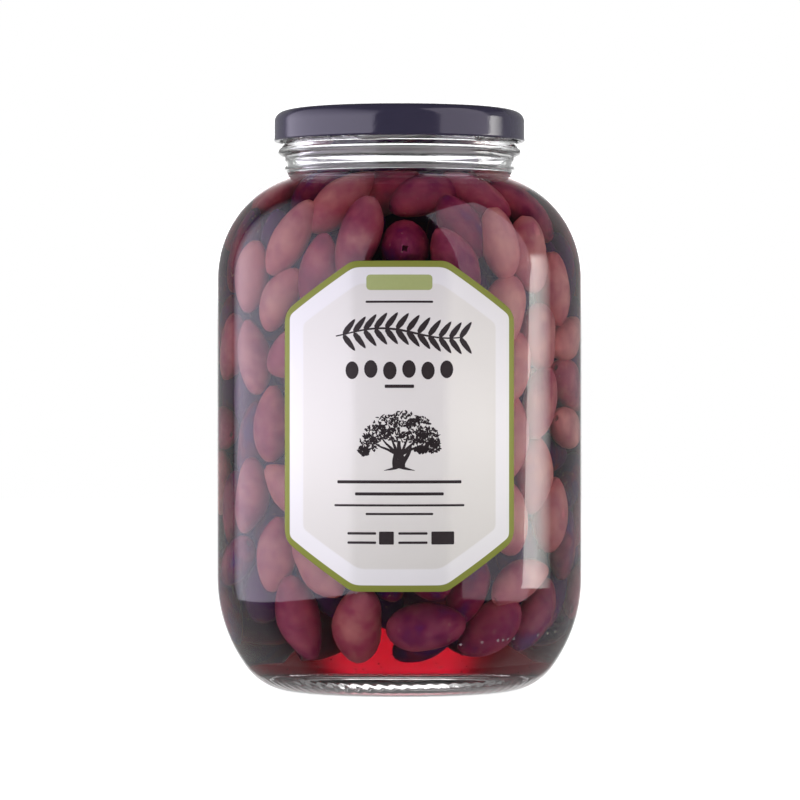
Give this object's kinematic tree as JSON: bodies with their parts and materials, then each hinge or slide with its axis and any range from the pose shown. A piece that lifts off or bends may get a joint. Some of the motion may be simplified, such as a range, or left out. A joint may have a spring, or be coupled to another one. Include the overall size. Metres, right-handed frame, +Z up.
{
  "type": "jar of olives",
  "caption": "Glass catering jar with a dark steel lug cap and an octagonal paper label, filled with pitted dark olives in red brine.",
  "frame": {"origin": "middle of the bearing ring that the jar stands on", "axes": "+Z up along the jar's axis, the label faces -Y"},
  "size_m": [0.1228, 0.1229, 0.1956],
  "materials": {
    "glass": "clear, smooth, moulded",
    "filling": "dark red brine with olives",
    "cap": "dark satin lacquer",
    "label": "smooth coated paper with a printed green border"
  },
  "bodies": {
    "root": {"jar": "glass", "filling": "filling", "cap": "cap", "label": "label"}
  },
  "joints": []
}
